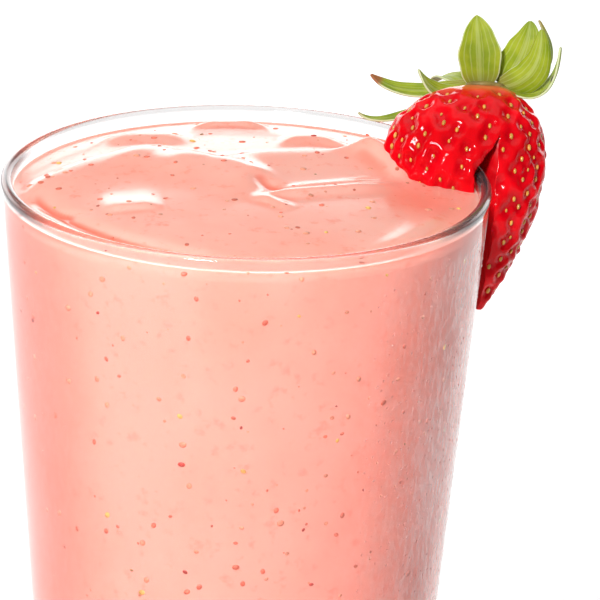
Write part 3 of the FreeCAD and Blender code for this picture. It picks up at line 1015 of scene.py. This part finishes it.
def leaf_mesh():
    """All the leaves as one mesh of sheets, with a map along and across each leaf."""
    points, faces, places, dryness, spots = [], [], [], [], []
    for index, row in enumerate(LEAVES):
        start = len(points)
        leaf_points, leaf_places, leaf_dry, leaf_spots = leaf_sheet(*row, index)
        spots += leaf_spots
        points += leaf_points
        places += leaf_places
        dryness += leaf_dry
        for i in range(LEAF_ALONG - 1):
            for j in range(LEAF_ACROSS - 1):
                a = start + i * LEAF_ACROSS + j
                faces.append((a, a + LEAF_ACROSS, a + LEAF_ACROSS + 1, a + 1))
    mesh = bpy.data.meshes.new("leaves")
    mesh.from_pydata([tuple(p * MM) for p in points], [], faces)
    layer = mesh.uv_layers.new(name="leaf")
    for loop in mesh.loops:
        layer.data[loop.index].uv = places[loop.vertex_index]
    mark_points(mesh, "dry", dryness)
    mark_points(mesh, "spot", spots)
    return mesh


# %% [markdown]
# A leaf is yellow-green with paler veins running its length, a pale thin edge, and brown where its
# tip has dried.  One has a dark spot.  The veins follow the leaf's own map, so they bend with it.

# %% Leaf finish


def leaf_finish():
    finish = Finish("strawberry_leaf")
    place = finish.node("ShaderNodeUVMap", {"uv_map": "leaf"})
    along = finish.part(place, 0)
    across = finish.part(place, 1)
    from_midrib = finish.without_sign(across - 0.5)
    wander = finish.noise(finish.place(), 350, 2.0)
    lines = finish.node("ShaderNodeMath", {"operation": "SINE"},
                        {0: across * 44.0 + wander * 2.5})
    veins = finish.ramp(lines, 0.55, 1.0)
    middle = 1 - finish.ramp(from_midrib, 0.015, 0.06)
    blotch = finish.noise(finish.place(), 220, 4.0)
    green = finish.mix(finish.ramp(blotch, 0.3, 0.7), colour(0.20, 0.28, 0.010),
                       colour(0.34, 0.40, 0.02))
    green = finish.mix(1 - finish.ramp(along, 0.0, 0.25), green, colour(0.26, 0.24, 0.04))
    green = finish.mix(veins * 0.35 + middle * 0.4, green, colour(0.45, 0.50, 0.18))
    margin = finish.ramp(from_midrib, 0.455, 0.495)
    green = finish.mix(margin * 0.8, green, colour(0.66, 0.70, 0.45))
    dry = finish.mark("dry")
    green = finish.mix(finish.ramp(dry + blotch * 0.2 * dry, 0.15, 0.7), green,
                       colour(0.34, 0.13, 0.045))
    spot = finish.mark("spot")
    green = finish.mix(finish.ramp(spot, 0.3, 0.6), green, colour(0.03, 0.02, 0.01))
    relief = veins * 0.6 + blotch * 0.4
    return finish.done(finish.surface(
        Base_Color=green, Roughness=0.5, Specular_IOR_Level=0.2, Subsurface_Weight=0.2,
        Subsurface_Radius=(0.6, 1.0, 0.2), Subsurface_Scale=0.6 * MM,
        Normal=finish.bump(relief, 0.25, 0.12 * MM)))


leaf_green = leaf_finish()
leaves = add_piece("strawberry_leaves", leaf_mesh(), leaf_green)
thick = leaves.modifiers.new("thickness", "SOLIDIFY")
thick.thickness = LEAF_THICKNESS * MM
thick.offset = 0.0
refine(leaves)
keep(leaves, "calyx", "calyx")

# %% The button under the leaves


def button_rows():
    """Rings of the low button and the snapped stalk on it, from the crown up."""
    section = [(0.6, -0.5), (4.2, -0.4), (CAP_RADIUS, 0.2), (4.3, 0.7), (3.2, CAP_THICKNESS),
               (1.9, 1.15), (1.45, 1.6), (1.2, 2.6), (1.1, 3.3), (0.7, 3.45)]
    turns = np.linspace(0, 2 * math.pi, 40, endpoint=False)
    rows = []
    for r, z in section:
        wave = 1 + 0.05 * np.sin(5 * turns + z) + 0.03 * np.sin(9 * turns)
        rows.append(np.stack([r * wave * np.cos(turns), r * wave * np.sin(turns),
                              np.full(40, z)], 1))
    return np.array(rows) * MM


button_mesh = closed_tube("strawberry_button", button_rows())
button_mesh.transform(Matrix.Translation(crown) @ berry_turn)
button = add_piece("strawberry_button", button_mesh,
                   plain_finish("button_green", colour(0.30, 0.22, 0.06), 0.5))
refine(button)
face_out(button.data)
keep(button, "calyx")

# %% [markdown]
# ## Beads of water
#
# Where the mist has gathered it stands as tiny beads, mostly on the side away from the light.  They
# are flat domes of water, grown on the part of the tumbler's outer wall that faces that way.

# %% Grow the beads


def is_misted(place):
    """Whether a place is on the outer wall where the mist gathers, a little clear of the lip."""
    radius = math.hypot(place.x, place.y)
    outside = radius > outer_radius(place.z) - 0.3 * MM
    return outside and place.x > 0.55 * radius and 20 * MM < place.z < lip_height - 7 * MM


def water_finish():
    finish = Finish("bead_of_water")
    return finish.done(finish.surface(Base_Color=colour(1, 1, 1), Roughness=0.0, IOR=1.33,
                                      Transmission_Weight=1.0))


beads = add_piece("water_beads", part_of(tumbler.data, "misted_wall", is_misted))
grow(beads, scatter_tree("beads", water_finish(), 8, 5), Spacing=1.1 * MM, Density=260000.0,
     Smallest=0.07 * MM, Largest=0.26 * MM, Flatness=0.45, Length=1.1, Seed=9)
keep(beads, "glass")

# %% [markdown]
# ## Table, light and camera
#
# The serving stands on a plain white table in soft light from all round, with the sides of the
# room darker, so that the lip and the walls get their fine grey edges.  The table glows a little
# behind the glass, which keeps the ground white there.  One broad lamp in front on the left models
# the drink and the berry.

# %% Table
TABLE_REACH = 3.0
TABLE_WHITE = 0.78
TABLE_GLOW = 0.55
GLOW_FROM = -0.05
GLOW_FULL = 0.12
table_mesh = bpy.data.meshes.new("table")
table_mesh.from_pydata([(x * TABLE_REACH, y * TABLE_REACH, 0)
                        for x, y in ((-1, -1), (1, -1), (1, 1), (-1, 1))], [], [(0, 1, 2, 3)])
table_finish = Finish("white_table")
table_y = table_finish.part(table_finish.place(), 1)
table_glow = table_finish.mix(table_finish.ramp(table_y, GLOW_FROM, GLOW_FULL), colour(0, 0, 0),
                              colour(1, 1, 1))
table = add_piece("table", table_mesh, table_finish.done(
    table_finish.surface(Base_Color=colour(TABLE_WHITE, TABLE_WHITE, TABLE_WHITE), Roughness=0.7,
                         Emission_Color=table_glow, Emission_Strength=TABLE_GLOW)))

# %% Light


class Sky:
    """The world's shader, written as sums over the direction looked in."""

    def __init__(self):
        world = bpy.data.worlds.new("studio")
        bpy.context.scene.world = world
        world.use_nodes = True
        self.tree = world.node_tree
        self.tree.nodes.clear()
        self.glow = self.tree.nodes.new("ShaderNodeBackground")
        output = self.tree.nodes.new("ShaderNodeOutputWorld")
        self.tree.links.new(self.glow.outputs[0], output.inputs["Surface"])

    node = Finish.node
    ramp = Finish.ramp
    part = Finish.part
    without_sign = Finish.without_sign

    def lit(self, strength):
        self.tree.links.new(strength.socket, self.glow.inputs["Strength"])


def toward_sky(azimuth, elevation):
    """Direction of a lamp: azimuth from straight behind the viewer, positive to the right."""
    a = math.radians(azimuth)
    e = math.radians(elevation)
    return (math.sin(a) * math.cos(e), -math.cos(a) * math.cos(e), math.sin(e))


def softbox(sky, direction, azimuth, elevation, radius, edge):
    """1 inside a round lamp of this angular radius, fading to 0 over its edge."""
    aim = toward_sky(azimuth, elevation)
    near = sky.node("ShaderNodeVectorMath", {"operation": "DOT_PRODUCT"},
                    {0: direction, 1: aim}, out="Value")
    return sky.ramp(near, math.cos(math.radians(radius + edge)), math.cos(math.radians(radius)))


BACKDROP_EDGE = (18.0, 21.0)
BACKDROP_GLOW = 3.8
ROOM_GLOW = 0.26
SIDES_DARKER = 0.22
OVERHEAD_GLOW = 1.2
sky = Sky()
looked = sky.node("ShaderNodeTexCoord", out="Generated")
aside = sky.ramp(sky.without_sign(sky.part(looked, 0)), 0.66, 0.92)
low = 1 - sky.ramp(sky.part(looked, 2), *[math.sin(math.radians(edge)) for edge in BACKDROP_EDGE])
behind = sky.ramp(sky.part(looked, 1), 0.1, 0.5)
backdrop = low * behind * (1 - aside) * BACKDROP_GLOW
room = ROOM_GLOW - SIDES_DARKER * aside
overhead = softbox(sky, looked, azimuth=180, elevation=78, radius=24, edge=14) * OVERHEAD_GLOW
sky.lit(room + backdrop + overhead)


def lamp(name, azimuth, elevation, distance, radius, power):
    """A round soft lamp aimed at the middle of the lip, and kept out of what glass bends."""
    light = bpy.data.lights.new(name, "AREA")
    light.shape = "DISK"
    light.size = 2 * radius
    light.energy = power
    holder = bpy.data.objects.new(name, light)
    bpy.context.scene.collection.objects.link(holder)
    aim = Vector((0, 0, 0.7 * lip_height))
    holder.location = aim + distance * Vector(toward_sky(azimuth, elevation))
    holder.rotation_euler = (aim - holder.location).to_track_quat("-Z", "Y").to_euler()
    holder.visible_transmission = False
    return holder


lamp("key", azimuth=-21, elevation=34, distance=1.1, radius=0.13, power=12.2)

# %% Camera
DISTANCE = 0.90
ELEVATION = math.radians(18.48)
ROLL = math.radians(1.99)
AIM_RIGHT = math.radians(0.649)
AIM_DOWN = math.radians(1.369)
lens = bpy.data.cameras.new("camera")
lens.sensor_width = 36.0
lens.lens = 301.4
lens.clip_start = 0.05
camera = bpy.data.objects.new("camera", lens)
bpy.context.scene.collection.objects.link(camera)
lip_middle = Vector((0, 0, lip_height))
camera.location = lip_middle + DISTANCE * Vector((0, -math.cos(ELEVATION), math.sin(ELEVATION)))
toward = Vector((0, math.cos(ELEVATION), -math.sin(ELEVATION)))
right = Vector((1, 0, 0))
above = right.cross(toward)
look = (toward + math.tan(AIM_RIGHT) * right - math.tan(AIM_DOWN) * above).normalized()
level = look.cross(Vector((0, 0, 1))).normalized()
upward = level.cross(look)
tilted = math.cos(ROLL) * level + math.sin(ROLL) * upward
tilted_up = -math.sin(ROLL) * level + math.cos(ROLL) * upward
camera.rotation_euler = Matrix((tilted, tilted_up, -look)).transposed().to_euler()
bpy.context.scene.camera = camera
bpy.context.scene.view_settings.view_transform = "Standard"
print("camera", round(DISTANCE, 2), "m away,", round(math.degrees(ELEVATION), 1), "degrees up")
